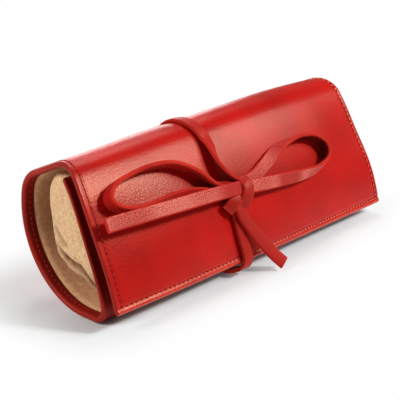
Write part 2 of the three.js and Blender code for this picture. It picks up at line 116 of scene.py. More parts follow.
# Tie
LACE_WIDTH = 7.0
LACE_THICKNESS = 2.2
TIE_X = -25.0
CHANNEL_RAMP = 8.0
KNOT_X = -15.0
KNOT_RISE = 34.0

GAP = 0.3
HALF_LENGTH = ROLL_LENGTH / 2
LACE_LIFT = GAP + LACE_THICKNESS / 2
SKIN_STEP = 0.25


# The section: circles that touch one another, walked from the inner panel's tip to the flap's edge
def polar(centre, radius, angle):
    return np.array([centre[0] + radius * np.cos(angle), centre[1] + radius * np.sin(angle)])


def angle_of(vector):
    return math.atan2(vector[1], vector[0])


def unit(vector):
    return vector / np.linalg.norm(vector)


TURN = 2 * math.pi
ALONG_ROLL = np.array([1.0, 0.0, 0.0])
back_centre = np.array([BASE_FLAT / 2, BACK_RADIUS])
toe_centre = np.array([-BASE_FLAT / 2, TOE_RADIUS])
toe_angle = math.pi / 2 + TOE_LEAN
front_centre = polar(toe_centre, TOE_RADIUS - FRONT_RADIUS, toe_angle)
flap_radius = FRONT_RADIUS + FLAP_GAP + COVER
flap_end_angle = math.pi - math.asin((FLAP_EDGE_HEIGHT - front_centre[1]) / flap_radius)


class Top:
    """Shoulder, roof and crest of the section at a fullness from 0 at the left end to 1 at the right."""

    def __init__(self, fullness):
        self.crest_radius = CREST_RADIUS + fullness * CREST_GAIN
        self.shoulder_radius = SHOULDER_RADIUS + fullness * SHOULDER_GAIN
        self.shoulder_angle = SHOULDER_ANGLE + fullness * SHOULDER_TURN
        height = ROLL_HEIGHT + fullness * HEIGHT_GAIN - self.crest_radius
        reach = math.sqrt((flap_radius - self.crest_radius) ** 2 - (height - front_centre[1]) ** 2)
        self.crest = np.array([front_centre[0] - reach, height])
        self.shoulder = polar(back_centre, BACK_RADIUS - self.shoulder_radius, self.shoulder_angle)
        run = self.crest - self.shoulder
        share = (self.shoulder_radius - self.crest_radius) / np.linalg.norm(run)
        self.roof_angle = angle_of(run) - math.acos(share)
        self.crest_angle = angle_of(self.crest - front_centre)
        self.flap_end_angle = flap_end_angle + fullness * FLAP_DROP / flap_radius


left_top = Top(0.0)
right_top = Top(1.0)
tie_top = Top((TIE_X + HALF_LENGTH) / ROLL_LENGTH)
tip_angle = left_top.crest_angle + (TIP_DROP - TIP_RISE) / FRONT_RADIUS
pouch_angle = left_top.crest_angle + POUCH_DROP / FRONT_RADIUS
fold_angle = (left_top.roof_angle + left_top.crest_angle) / 2
flap_length = (flap_end_angle - tie_top.crest_angle) * flap_radius


def bends(top):
    """Bends of the section in order: name, centre, radius, first and last angle of the normal."""
    return [
        ("inner", front_centre, FRONT_RADIUS, tip_angle, toe_angle),
        ("toe", toe_centre, TOE_RADIUS, toe_angle, 0.75 * TURN),
        ("back", back_centre, BACK_RADIUS, 0.75 * TURN, TURN + top.shoulder_angle),
        ("shoulder", top.shoulder, top.shoulder_radius, TURN + top.shoulder_angle, TURN + top.roof_angle),
        ("crest", top.crest, top.crest_radius, TURN + top.roof_angle, TURN + fold_angle),
        ("brow", top.crest, top.crest_radius, TURN + fold_angle, TURN + top.crest_angle),
        ("flap", front_centre, flap_radius, TURN + top.crest_angle, TURN + top.flap_end_angle),
    ]


def walk_skin(top):
    """Points and normals (y, z, y, z) along the skin, with as many in each bend at both ends of the roll."""
    skin = []
    starts = {}
    for (name, centre, radius, first, last), (_, _, size, low, high) in zip(bends(top), bends(left_top)):
        count = max(2, int(size * (high - low) / SKIN_STEP))
        starts[name] = len(skin)
        for angle in np.linspace(first, last, count):
            skin.append((*polar(centre, radius, angle), math.cos(angle), math.sin(angle)))
    return np.array(skin), starts


left_skin, station_start = walk_skin(left_top)
right_skin, _ = walk_skin(right_top)
middle_steps = np.linalg.norm(np.diff((left_skin + right_skin)[:, :2] / 2, axis=0), axis=1)
skin_lengths = np.concatenate([[0.0], np.cumsum(middle_steps)]) - TIP_RISE
bend_start = {name: skin_lengths[i] for name, i in station_start.items()}
bend_start["shoulder_end"] = skin_lengths[station_start["crest"] - 1]
SKIN_END = skin_lengths[-1]
ROOF_MIDDLE = bend_start["crest"] - 6.0
BASE_MIDDLE = bend_start["back"] + 4.0
PANEL_THICKENS = (bend_start["toe"] - 12.0, bend_start["toe"] + 6.0)
FLAP_THINS = (bend_start["crest"], bend_start["flap"] + 6.0)


def fullness_at(x):
    """How far the section has filled out at a place along the roll."""
    share = (np.asarray(x, float) + HALF_LENGTH) / ROLL_LENGTH
    return np.clip(1 - (1 - np.clip(share, 0, 1)) ** FULLNESS_POWER, 0, 1)


def skin_at(x, s):
    """Points and outward normals (y, z) of the skin at places x along the roll and s along the skin."""
    share = fullness_at(x)
    y, z, ny, nz = (
        np.interp(s, skin_lengths, left) * (1 - share) + np.interp(s, skin_lengths, right) * share
        for left, right in zip(left_skin.T, right_skin.T)
    )
    size = np.hypot(ny, nz)
    return y, z, ny / size, nz / size


def smooth(low, high, value):
    t = np.clip((value - low) / (high - low), 0.0, 1.0)
    return t * t * (3 - 2 * t)


def channel_lift(x, s):
    """Where the tie passes under the base, it bites into the cover."""
    _, z, _, nz = skin_at(x, s)
    depth = np.clip(2 * GAP + LACE_THICKNESS - z, 0.0, None) * (nz < -0.5)
    aside = np.abs(x - TIE_X) - LACE_WIDTH / 2 - 2 * GAP
    return depth * (1 - smooth(0.0, CHANNEL_RAMP, aside))


def bell(value, middle, reach):
    """1 at the middle, fading to both sides."""
    return np.exp(-(((value - middle) / reach) ** 2))


# Unevenness of the leather: heights, and places as a middle and a reach along the roll or along the skin
UNEVEN_START = (bend_start["shoulder"] - 30, bend_start["shoulder"])
WAVE_HEIGHT = 0.3
RIPPLE_HEIGHT = 0.2
SWELL_ALONG = (-50.0, 42.0)
SWELL_ACROSS = (ROOF_MIDDLE, 16.0)
PINCH_DEPTH = 0.9
PINCH_ALONG = (TIE_X + 1.5, 9.0)
PINCH_ACROSS = (bend_start["crest"] + 9, 16.0)
TURNED_HEIGHT = 0.4
TURNED_EDGE = (SKIN_END - 1.5, 1.0)
SEWN_DEPTH = 0.3
SEWN_LINE = (SKIN_END - STITCH_INSET, 0.8)
# Creases beside the tie on the crest: distance from the tie, lean, height
CREASES = [(9.0, 0.25, 0.28), (14.5, 0.35, -0.24), (20.0, 0.5, 0.22), (-8.5, -0.3, 0.2)]
CREASE_WIDTH = 1.6
CREASE_ACROSS = (bend_start["crest"] + 6, 9.0)


def relief(x, s):
    """Soft unevenness of the leather, in millimetres off the even skin."""
    upper = smooth(*UNEVEN_START, s)
    waves = WAVE_HEIGHT * np.sin(x / 31 + 0.6) * np.sin(s / 23) + RIPPLE_HEIGHT * np.sin(x / 17 + s / 40)
    swell = ROOF_SWELL * bell(x, *SWELL_ALONG) * bell(s, *SWELL_ACROSS)
    pinch = PINCH_DEPTH * bell(x, *PINCH_ALONG) * bell(s, *PINCH_ACROSS)
    crease = np.zeros(np.broadcast(x, s).shape)
    for offset, lean, height in CREASES:
        line = x - TIE_X - offset - lean * (s - bend_start["crest"])
        crease = crease + height * bell(line, 0.0, CREASE_WIDTH) * bell(s, *CREASE_ACROSS)
    turned = TURNED_HEIGHT * bell(s, *TURNED_EDGE)
    sewn = SEWN_DEPTH * bell(s, *SEWN_LINE)
    return upper * (waves + swell - pinch + crease) + turned - sewn


# Slump: where each movement starts and where it is full, and the heights that the front is pressed at
LEFT_SLUMP = (-55.0, -HALF_LENGTH)
RIGHT_SLUMP = (60.0, HALF_LENGTH)
FRONT_FACE = (16.0, -2.0)
PRESS_FACE = (12.0, -8.0)
PRESS_HEIGHT = 42.0
PRESS_REACH_UP = 16.0
PRESS_REACH_DOWN = 34.0
FAR_PRESS_ALONG = (64.0, HALF_LENGTH)
FAR_PRESS_FACE = (22.0, 8.0)
FAR_PRESS_HEIGHT = (50.0, 17.0)


def settle(points):
    """The slump of the ends: the foot slides outward, and the front is pressed in."""
    x, y, z = np.moveaxis(np.asarray(points, float), -1, 0)
    near_end = smooth(*LEFT_SLUMP, x)
    far_end = smooth(*RIGHT_SLUMP, x)
    front = smooth(*FRONT_FACE, y)
    lowness = 1 - z / ROLL_HEIGHT
    slide = front * FRONT_SLIDE + (1 - front) * FOOT_SLIDE * lowness
    slide = slide * near_end - FAR_SLIDE * far_end * front * lowness
    fade = np.where(z > PRESS_HEIGHT, PRESS_REACH_UP, PRESS_REACH_DOWN)
    press = FRONT_PRESS * near_end * bell(z, PRESS_HEIGHT, fade) * smooth(*PRESS_FACE, y)
    far_press = FAR_PRESS * smooth(*FAR_PRESS_ALONG, x) * bell(z, *FAR_PRESS_HEIGHT)
    far_press = far_press * smooth(*FAR_PRESS_FACE, y)
    return np.stack([x - slide, y + press + far_press, z], axis=-1)


def cover_point(x, s, depth):
    """A point of the cover: x along the roll, s along the skin, depth below the skin."""
    y, z, ny, nz = skin_at(x, s)
    out = relief(x, s) - depth
    return settle(np.stack(np.broadcast_arrays(x, y + ny * out, z + nz * out + channel_lift(x, s)), axis=-1))


# Meshes
MOST_SHADE = 0.9


def new_mesh(name, points, faces, materials, indices=None, uvs=None):
    """A smooth-shaded mesh object from points in millimetres, with one uv per point."""
    mesh = bpy.data.meshes.new(name)
    mesh.from_pydata((np.asarray(points) * MM).tolist(), [], faces)
    for made in materials:
        mesh.materials.append(made)
    mesh.polygons.foreach_set("use_smooth", [True] * len(mesh.polygons))
    if indices is not None:
        mesh.polygons.foreach_set("material_index", indices)
    if uvs is not None:
        corner = np.zeros(len(mesh.loops), dtype=np.int32)
        mesh.loops.foreach_get("vertex_index", corner)
        layer = mesh.uv_layers.new(name="Sheet")
        layer.data.foreach_set("uv", (np.asarray(uvs)[corner] * MM).ravel())
    mesh.update()
    obj = bpy.data.objects.new(name, mesh)
    bpy.context.scene.collection.objects.link(obj)
    return obj


def paint(obj, attribute, values):
    """Give each point of a mesh a share, up to MOST_SHADE, by which its finish mixes in another colour."""
    layer = obj.data.attributes.new(attribute, "FLOAT", "POINT")
    layer.data.foreach_set("value", np.clip(values, 0.0, MOST_SHADE))


def ring_faces(ring_count, corners):
    """Quads between rings of the same number of corners, ring after ring."""
    faces = []
    for i in range(ring_count - 1):
        for j in range(corners):
            a = i * corners + j
            b = i * corners + (j + 1) % corners
            faces.append((a, b, b + corners, a + corners))
    return faces


def fan_cap(start, corners, flip):
    """One face over a ring of corners."""
    face = list(range(start, start + corners))
    return [tuple(reversed(face))] if flip else [tuple(face)]


def closed_faces(rings, corners, flip):
    """Faces of a tube of rings, closed at both ends."""
    last = (rings - 1) * corners
    return ring_faces(rings, corners) + fan_cap(0, corners, flip) + fan_cap(last, corners, not flip)


def ellipsoid(centre, along, out, half, levels, around):
    """Points on rings at levels, from half the size along, aside and outward."""
    axes = np.array([along, np.cross(out, along), out])
    points = []
    for level in levels:
        for angle in TURN * np.arange(around) / around:
            ball = (math.cos(level) * math.cos(angle), math.cos(level) * math.sin(angle), math.sin(level))
            points.append(centre + np.multiply(half, ball).dot(axes))
    return points


# Materials
def linear(red, green, blue):
    """A colour given as display values from 0 to 255."""
    def channel(value):
        share = value / 255
        return share / 12.92 if share <= 0.04045 else ((share + 0.055) / 1.055) ** 2.4

    return (channel(red), channel(green), channel(blue), 1.0)


def put(node, values):
    """Set inputs of a node by name."""
    for name, value in values.items():
        node.inputs[name].default_value = value


class Finish:
    """A principled material with helpers for the textures that vary it."""

    def __init__(self, name, colour, roughness, specular=0.5, metallic=0.0):
        self.made = bpy.data.materials.new(name)
        self.made.use_nodes = True
        self.nodes = self.made.node_tree.nodes
        self.links = self.made.node_tree.links
        self.shader = self.nodes["Principled BSDF"]
        put(self.shader, {"Base Color": colour, "Roughness": roughness})
        put(self.shader, {"Specular IOR Level": specular, "Metallic": metallic})
        self.made.diffuse_color = colour
        self.place = self.nodes.new("ShaderNodeTexCoord")
        self.height = None

    def texture(self, kind, scale, coordinates, output="Fac", **settings):
        node = self.nodes.new("ShaderNodeTex" + kind)
        self.links.new(self.place.outputs[coordinates], node.inputs["Vector"])
        put(node, {"Scale": scale, **settings})
        return node.outputs[output]

    def compute(self, operation, *sources, kind="Math", output="Value"):
        """A calculation on sources, each an output of another node or a constant."""
        node = self.nodes.new("ShaderNode" + kind)
        node.operation = operation
        for socket, source in zip(node.inputs, sources):
            if isinstance(source, bpy.types.NodeSocket):
                self.links.new(source, socket)
            else:
                socket.default_value = source
        return node.outputs[output]

    def compute_vector(self, operation, *sources, output="Vector"):
        return self.compute(operation, *sources, kind="VectorMath", output=output)

    def tone(self, factor, low, high, start=0.35, end=0.65):
        """Colour that runs from low to high as the factor runs from start to end."""
        ramp = self.nodes.new("ShaderNodeValToRGB")
        for stop, position, colour in zip(ramp.color_ramp.elements, (start, end), (low, high)):
            stop.position = position
            stop.color = colour
        self.links.new(factor, ramp.inputs["Fac"])
        self.links.new(ramp.outputs["Color"], self.shader.inputs["Base Color"])

    def shade(self, attribute, colour):
        """Mix the tone towards colour by an attribute of the mesh."""
        tone = self.shader.inputs["Base Color"].links[0].from_socket
        depth = self.nodes.new("ShaderNodeAttribute")
        depth.attribute_name = attribute
        mix = self.nodes.new("ShaderNodeMixRGB")
        put(mix, {"Color2": colour})
        self.links.new(depth.outputs["Fac"], mix.inputs["Fac"])
        self.links.new(tone, mix.inputs["Color1"])
        self.links.new(mix.outputs["Color"], self.shader.inputs["Base Color"])

    def bump(self, height, strength, distance):
        node = self.nodes.new("ShaderNodeBump")
        put(node, {"Strength": strength, "Distance": distance})
        self.links.new(height, node.inputs["Height"])
        if self.height is not None:
            self.links.new(self.height, node.inputs["Normal"])
        self.height = node.outputs["Normal"]
        self.links.new(self.height, self.shader.inputs["Normal"])


WARM_GLOSS = (1.0, 0.66, 0.44, 1.0)


def flesh_finish(name, light, dark):
    """The rough side of the lace: pale specks, fewer in patches and none where it is worn smooth."""
    finish = Finish(name, light, 0.75, 0.2)
    specks = finish.texture("Noise", 1700.0, "UV", Detail=3.0, Roughness=0.6)
    patches = finish.texture("Noise", 30.0, "UV", Detail=1.0)
    rough = finish.nodes.new("ShaderNodeMapRange")
    put(rough, {"From Min": 0.4, "From Max": 0.56, "To Min": 0.82})
    finish.links.new(patches, rough.inputs["Value"])
    seen = finish.compute("MULTIPLY", specks, rough.outputs["Result"])
    finish.tone(seen, dark, light, 0.34, 0.64)
    finish.shade("worn", dark)
    finish.bump(specks, 0.6, 0.0006)
    return finish.made


def leather_finish(name, light, dark, roughness, specular=0.5, sheen=0.12):
    finish = Finish(name, light, roughness, specular)
    put(finish.shader, {"Specular Tint": WARM_GLOSS, "Sheen Tint": WARM_GLOSS})
    put(finish.shader, {"Sheen Weight": sheen, "Sheen Roughness": 0.3})
    cloud = finish.texture("Noise", 38.0, "UV", Detail=5.0)
    finish.tone(cloud, dark, light, 0.3, 0.62)
    pebble = finish.texture("Voronoi", 1100.0, "UV", "Distance")
    finish.bump(pebble, 0.24, 0.00018)
    grain = finish.texture("Noise", 800.0, "UV", Detail=3.0)
    finish.bump(grain, 0.2, 0.0003)
    return finish.made


def suede_finish(name, light, dark, coordinates, nap_scale, crease=None):
    finish = Finish(name, light, 1.0, 0.1)
    put(finish.shader, {"Sheen Weight": 0.25, "Sheen Roughness": 0.6, "Sheen Tint": WARM_GLOSS})
    nap = finish.texture("Noise", nap_scale, coordinates, Detail=8.0, Roughness=0.8)
    finish.tone(nap, dark, light, 0.38, 0.62)
    # Painted shade: a crease colour, when given, is mixed in by the mesh's crease attribute
    if crease is not None:
        finish.shade("crease", crease)
    finish.bump(nap, 0.7, 0.0009)
    fibre = finish.texture("Noise", 2600.0, coordinates, Detail=3.0)
    finish.bump(fibre, 0.35, 0.0003)
    return finish.made


RED = leather_finish("cover leather", linear(188, 13, 10), linear(166, 8, 7), 0.32, 0.3)
RED_EDGE = leather_finish("cut leather edge", linear(162, 26, 19), linear(136, 18, 14), 0.5, 0.3)
# Painted sheen: a lighter, more orange band along the flap's lower edge stands for the sheen on the ridge
# there
SHEEN_BAND_RED = leather_finish("lower edge painted sheen", linear(208, 52, 36), linear(186, 34, 25), 0.36, 0.4)
# Painted shade: the inner panel's outer face is the cover leather coloured darker, for the shade in the slit
# behind the flap
PANEL_SHADE_RED = leather_finish("inner panel leather painted shade", linear(126, 10, 9), linear(107, 8, 8), 0.5, 0.15, sheen=0.0)
HEM_RED = leather_finish("hem leather", linear(150, 26, 18), linear(120, 18, 14), 0.6, 0.2)
LACE_RED = leather_finish("lace grain side", linear(180, 23, 19), linear(156, 17, 15), 0.45, 0.25)
# Painted shade: the lace's underside is its grain side coloured darker, for the shade on the undersides of
# the twisted strap and the loops
LACE_SHADE_DARK = leather_finish("lace underside painted shade", linear(112, 17, 13), linear(84, 12, 10), 0.8, 0.1, sheen=0.0)
LACE_EDGE = leather_finish("lace edge", linear(196, 46, 34), linear(168, 30, 23), 0.8, 0.1, sheen=0.0)
LACE_FLESH = flesh_finish("lace flesh side", linear(238, 136, 118), linear(172, 28, 23))
SUEDE = suede_finish("suede lining", linear(251, 195, 145), linear(218, 155, 109), "UV", 420.0)
# Painted shade: the pouch's crease colour darkens its suede in the hollows of the end folds and towards the
# foot of each end
PALE_SUEDE = suede_finish(
    "pouch suede painted shade", linear(248, 210, 164), linear(210, 160, 112), "Object", 620.0, crease=linear(120, 70, 42)
)


def thread_finish(name, light, dark):
    finish = Finish(name, light, 0.6, 0.3)
    twist = finish.texture("Wave", 900.0, "Object", Distortion=1.5)
    finish.tone(twist, dark, light, 0.2, 0.8)
    finish.bump(twist, 0.4, 0.0002)
    return finish.made


THREAD = thread_finish("side thread", linear(186, 44, 34), linear(150, 30, 24))
LIGHT_THREAD = thread_finish("edge thread", linear(244, 146, 108), linear(216, 98, 70))
# Painted shade: dark lumps stand in for the shade inside the needle holes
HOLE_SHADE = Finish("needle hole painted shade", linear(92, 14, 12), 0.8, 0.1)
hole_mottle = HOLE_SHADE.texture("Noise", 900.0, "Object")
HOLE_SHADE.tone(hole_mottle, linear(76, 11, 10), linear(106, 17, 14))

CLOTH = Finish("zip tape", linear(186, 146, 106), 0.9, 0.2)
weave = CLOTH.texture("Checker", 1400.0, "Object")
CLOTH.tone(weave, linear(168, 128, 90), linear(196, 156, 116), 0.0, 1.0)
CLOTH.bump(weave, 0.5, 0.0003)

BRASS = Finish("brass", linear(206, 168, 88), 0.32, 0.5, 1.0)
scratches = BRASS.texture("Noise", 700.0, "Object", Detail=6.0)
BRASS.tone(scratches, linear(190, 150, 74), linear(218, 182, 104))
BRASS.bump(scratches, 0.15, 0.0002)


# Cover leather and lining
def spread(first, last, step):
    return np.linspace(first, last, max(2, int(math.ceil((last - first) / step)) + 1))


def cover_thickness(s):
    """The inner panel is a single thickness, the flap is pared thin, and the rest is leather and lining."""
    panel_share = 1 - smooth(*PANEL_THICKENS, s)
    flap_share = smooth(*FLAP_THINS, s)
    return COVER - (COVER - PANEL_THICKNESS) * panel_share - (COVER - FLAP_THICKNESS) * flap_share


RIM_STRIP = 7.0
RIM_STEP = 0.7
COVER_STEP = 3.2
GROOVE_DEPTH = 0.22
GROOVE_WIDTH = 0.9
RIM_ANGLES = np.radians(np.linspace(80, -80, 7))


def leather_ring(s, shrink):
    """Corners (x, depth, part) round the leather's cut, thinned by shrink at a rounded end."""
    thickness = cover_thickness(s)
    top = min(shrink, 0.48 * thickness)
    bottom = thickness - top
    middle = (top + bottom) / 2
    radius = max(0.02, (bottom - top) / 2)
    inside = HALF_LENGTH - top - radius
    strip = inside - RIM_STRIP
    fine = spread(strip, inside, RIM_STEP)
    columns = np.concatenate([-fine[::-1], spread(-strip, strip, COVER_STEP)[1:-1], fine])
    rim = [(inside + radius * math.cos(a), middle - radius * math.sin(a)) for a in RIM_ANGLES]
    hem = HALF_LENGTH - HEM_WIDTH
    floor = min(LEATHER, 0.8 * thickness, bottom)
    corners = []
    for x in columns:
        groove = GROOVE_DEPTH * bell(HALF_LENGTH - abs(x), STITCH_INSET, GROOVE_WIDTH)
        corners.append((x, min(top + groove, middle), 0))
    corners += [(x, depth, 1) for x, depth in rim]
    for x in columns[::-1]:
        step = smooth(hem - 0.8, hem + 0.2, abs(x))
        corners.append((x, floor + (bottom - floor) * step, 2))
    return corners + [(-x, depth, 1) for x, depth in reversed(rim)]


def panel(name, stations, ring_at, materials, cap_start, cap_end):
    """A curved sheet: a ring of (x, depth, part) at each station (s, shrink) along the skin."""
    points = []
    uvs = []
    for s, shrink in stations:
        ring = ring_at(s, shrink)
        x, depth, _ = np.array(ring).T
        points.extend(cover_point(x, np.full_like(x, s), depth))
        uvs.extend(np.stack([x, s + 3 * depth], axis=1))
    corners = len(ring)
    faces = ring_faces(len(stations), corners)
    parts = []
    for s, _ in stations[:-1]:
        # The last stretch of the flap's outer face takes the band of painted sheen
        sheen_banded = len(materials) > 3 and s > SKIN_END - SHEEN_BAND_WIDTH
        parts.extend(3 if sheen_banded and c[2] == 0 else c[2] for c in ring)
    if cap_start:
        faces += fan_cap(0, corners, False)
        parts.append(1)
    if cap_end:
        faces += fan_cap((len(stations) - 1) * corners, corners, True)
        parts.append(1)
    return new_mesh(name, points, faces, materials, parts, uvs)


ROUND_ANGLES = np.radians((25, 45, 62, 76, 86))
STATION_STEP = 1.6
EDGE_STRIP = 8.0
EDGE_STEP = 0.5


def stations_between(first, last, round_first=False, round_last=False):
    """Stations (s, shrink) along the skin, thinned to a rounded edge at a free end."""
    half = COVER / 2
    low = first + half if round_first else first
    high = last - half if round_last else last
    coarse = high - EDGE_STRIP if round_last else high
    stations = [(s, 0.0) for s in spread(low, coarse, STATION_STEP)]
    rounding = [(half * math.sin(a), half * (1 - math.cos(a))) for a in ROUND_ANGLES]
    if round_first:
        stations = [(low - along, thin) for along, thin in reversed(rounding)] + stations
    if round_last:
        stations += [(s, 0.0) for s in spread(coarse, high, EDGE_STEP)[1:]]
        stations += [(high + along, thin) for along, thin in rounding]
    return stations


LINING_INSET = 0.6
LINING_STEP = 3.0


def lining_ring(s, shrink):
    """Corners round the lining's cut, which lies between the two hems."""
    end = HALF_LENGTH - HEM_WIDTH - LINING_INSET
    columns = spread(-end, end, LINING_STEP)
    thickness = cover_thickness(s)
    top = min(LEATHER, thickness - 0.3) + 0.1
    bottom = max(top + 0.02, thickness - shrink)
    return [(x, top, 0) for x in columns] + [(x, bottom, 0) for x in columns[::-1]]


LINING_SHORT = 0.4
LEATHERS = [RED, RED_EDGE, HEM_RED, SHEEN_BAND_RED]
PANEL_LEATHERS = [PANEL_SHADE_RED, RED_EDGE, HEM_RED]
inner_strip = stations_between(-TIP_RISE, BASE_MIDDLE, round_first=True)
back_strip = stations_between(BASE_MIDDLE, ROOF_MIDDLE)
front_strip = stations_between(ROOF_MIDDLE, SKIN_END, round_last=True)
inner_lined = stations_between(LINING_SHORT - TIP_RISE, BASE_MIDDLE, round_first=True)
front_lined = stations_between(ROOF_MIDDLE, SKIN_END - LINING_SHORT, round_last=True)

cover_inner = panel("cover_inner", inner_strip, leather_ring, PANEL_LEATHERS, True, False)
cover_back = panel("cover_back", back_strip, leather_ring, LEATHERS, False, False)
cover_front = panel("cover_front", front_strip, leather_ring, LEATHERS, False, True)
lining_inner = panel("lining_inner", inner_lined, lining_ring, [SUEDE], True, False)
lining_back = panel("lining_back", back_strip, lining_ring, [SUEDE], False, False)
lining_front = panel("lining_front", front_lined, lining_ring, [SUEDE], False, True)


# Stitching
def stitch_row(places):
    """Points, faces and parts of stitches and holes at places (centre, along, outward, size, part)."""
    levels = np.radians((-60, -20, 20, 60))
    around = 8
    lump = closed_faces(len(levels), around, True)
    points = []
    faces = []
    parts = []
    for centre, along, out, size, part in places:
        faces += [tuple(len(points) + i for i in face) for face in lump]
        points += ellipsoid(centre, along, out, size, levels, around)
        parts += [part] * len(lump)
    return points, faces, parts


# Stitches and needle holes: half their length, width and height
THREAD_SIZE = (0.95, 0.3, 0.26)
HOLE_SIZE = (0.46, 0.38, 0.14)
HALF_PITCH = STITCH_PITCH / 2
ROW_SLANT = 0.4


def cover_frame(x, s, depth):
    """A point of the cover with its directions along the skin and outward."""
    _, _, ny, nz = skin_at(x, s)
    out = np.array([0.0, ny, nz])
    return cover_point(x, s, depth), np.cross(out, ALONG_ROLL), out


def seam(first, last, x, depth, facing, thread=0):
    """Stitches along the skin at one place along the roll, below the face of the cover that they are on."""
    places = []
    for s in np.arange(first + HALF_PITCH, last, STITCH_PITCH):
        level = depth if facing > 0 else cover_thickness(s) - depth
        for shift, size, part in ((0.0, THREAD_SIZE, thread), (HALF_PITCH, HOLE_SIZE, 1)):
            centre, along, out = cover_frame(x, s + shift, level)
            places.append((centre, along, out * facing, size, part))
    return places


def edge_row(s):
    """Stitches along the roll at one place along the skin."""
    places = []
    reach = HALF_LENGTH - STITCH_INSET
    for x in np.arange(-reach + HALF_PITCH, reach, STITCH_PITCH):
        for shift, slant, size, part in ((0.0, ROW_SLANT, THREAD_SIZE, 2), (HALF_PITCH, 0.0, HOLE_SIZE, 1)):
            centre, _, out = cover_frame(x + shift, s + slant, 0.0)
            places.append((centre, ALONG_ROLL, out, size, part))
    return places


def stitches(name, first, last, rows):
    """The stitching of one piece of the cover, on its outside and inside the hems."""
    places = list(rows)
    for side, depth, thread in ((-1, 0.12, 0), (1, -0.1, 2)):
        x = side * (HALF_LENGTH - STITCH_INSET)
        places += seam(first, last, x, depth, 1, thread)
        places += seam(first, last, x, -0.05, -1)
    points, faces, parts = stitch_row(places)
    return new_mesh(name, points, faces, [THREAD, HOLE_SHADE.made, LIGHT_THREAD], parts)


LOWER_ROW = SKIN_END - STITCH_INSET
stitches_front = stitches("stitches_front", ROOF_MIDDLE, LOWER_ROW - 1.0, edge_row(LOWER_ROW))
stitches_back = stitches("stitches_back", BASE_MIDDLE + 2.0, ROOF_MIDDLE, [])


# Tie
def over_flap(x, rise, height):
    """A point over the flap and crest: rise from the flap's lower edge, height off the skin."""
    past = rise - flap_length
    if past > 0:
        angle = tie_top.crest_angle - past / tie_top.crest_radius
        y, z = polar(tie_top.crest, tie_top.crest_radius + height, angle)
    else:
        y, z = polar(front_centre, flap_radius + height, flap_end_angle - rise / flap_radius)
    return np.array([x, y, z])


def flap_normal(point):
    seen = np.array([point[1], point[2]])
    off_crest = seen - tie_top.crest
    on_crest = off_crest[1] > 0 and angle_of(off_crest) < tie_top.crest_angle
    out = unit(off_crest if on_crest else seen - front_centre)
    return np.array([0.0, *out])


def spline(values, count):
    """Points of a curve that passes through all values, evenly shared between them."""
    values = np.asarray(values, float)
    padded = np.vstack([2 * values[0] - values[1], values, 2 * values[-1] - values[-2]])
    made = []
    for place in np.linspace(0, len(values) - 1, count):
        i = min(int(place), len(values) - 2)
        t = place - i
        a, b, c, d = padded[i:i + 4]
        made.append(0.5 * (2 * b + (c - a) * t + (2 * a - 5 * b + 4 * c - d) * t * t
                           + (3 * b - a - 3 * c + d) * t ** 3))
    return np.array(made)


LACE_CORNER = 0.7
LACE_CROWN = 0.12
LACE_BULGE = 1.05
LACE_COLUMNS = 7


def lace_outline():
    """Corners (across, up, part) of the lace's cut: part 0 on top, 1 at the edges, 2 below."""
    half_thickness = LACE_THICKNESS / 2
    flat = LACE_WIDTH / 2 - LACE_CORNER
    top = half_thickness - LACE_CROWN
    edge = []
    for angle in np.radians((60, 30, 0, -30, -60)):
        edge.append((flat + LACE_CORNER * math.cos(angle), LACE_BULGE * top * math.sin(angle)))
    columns = np.linspace(-flat, flat, LACE_COLUMNS)
    outline = [(across, top + LACE_CROWN * (1 - (across / flat) ** 2), 0) for across in columns]
    outline += [(across, up, 1) for across, up in edge]
    outline += [(across, -half_thickness, 2) for across in columns[::-1]]
    return outline + [(-across, up, 1) for across, up in reversed(edge)]


OUTLINE = lace_outline()


def heading(line, i):
    """Direction of a line at one of its points."""
    return unit(line[min(i + 1, len(line) - 1)] - line[max(i - 1, 0)])


def lace(name, centres, normals, materials, ridged=None, worn=()):
    """A flat lace through centres with its upper face to the normals.

    Its lower face is puckered in ridges along the stretch of its run that ridged names. Its rough side is
    smooth round each place of its run in worn, given with its reach.
    """
    centres = np.asarray(centres)
    points = []
    uvs = []
    smoothness = []
    run = 0.0
    for i, centre in enumerate(centres):
        along = heading(centres, i)
        side = unit(np.cross(along, normals[i]))
        face = np.cross(side, along)
        run += np.linalg.norm(centre - centres[max(i - 1, 0)])
        pucker = 0.0
        if ridged is not None:
            first, last = ridged
            stretch = smooth(first, first + RIDGE_FADE, run) * smooth(last, last - RIDGE_FADE, run)
            pucker = RIDGE_HEIGHT * stretch * math.sin(TURN * run / RIDGE_PITCH)
        for across, up, part in OUTLINE:
            lift = pucker if part == 2 else 0.0
            points.append(centre + side * across + face * (up + lift))
            uvs.append((run, across + 4 * up))
            smoothness.append(sum(math.exp(-(((run - place) / reach) ** 4)) for place, reach in worn))
    parts = [c[2] for c in OUTLINE] * (len(centres) - 1) + [1, 1]
    faces = closed_faces(len(centres), len(OUTLINE), False)
    made = new_mesh(name, points, faces, materials, parts, uvs)
    for cut_end in (-1, -2):
        made.data.polygons[cut_end].use_smooth = False
    paint(made, "worn", smoothness)
    return made


def route_line(route, count, square=False):
    """Centres and normals of a route of [x, rise, height, roll] over the flap."""
    smooth_route = spline(route, count)
    centres = np.array([over_flap(x, rise, height) for x, rise, height, _ in smooth_route])
    normals = []
    for i, (centre, station) in enumerate(zip(centres, smooth_route)):
        along = heading(centres, i)
        normal = np.cross(along, ALONG_ROLL) if square else flap_normal(centre)
        normal = unit(normal - along * normal.dot(along))
        angle = math.radians(station[3])
        normals.append(normal * math.cos(angle) + np.cross(along, normal) * math.sin(angle))
    return centres, normals


SLACK_ACROSS = (ROOF_MIDDLE - 4, 13.0)
LACE_SINK = 0.25


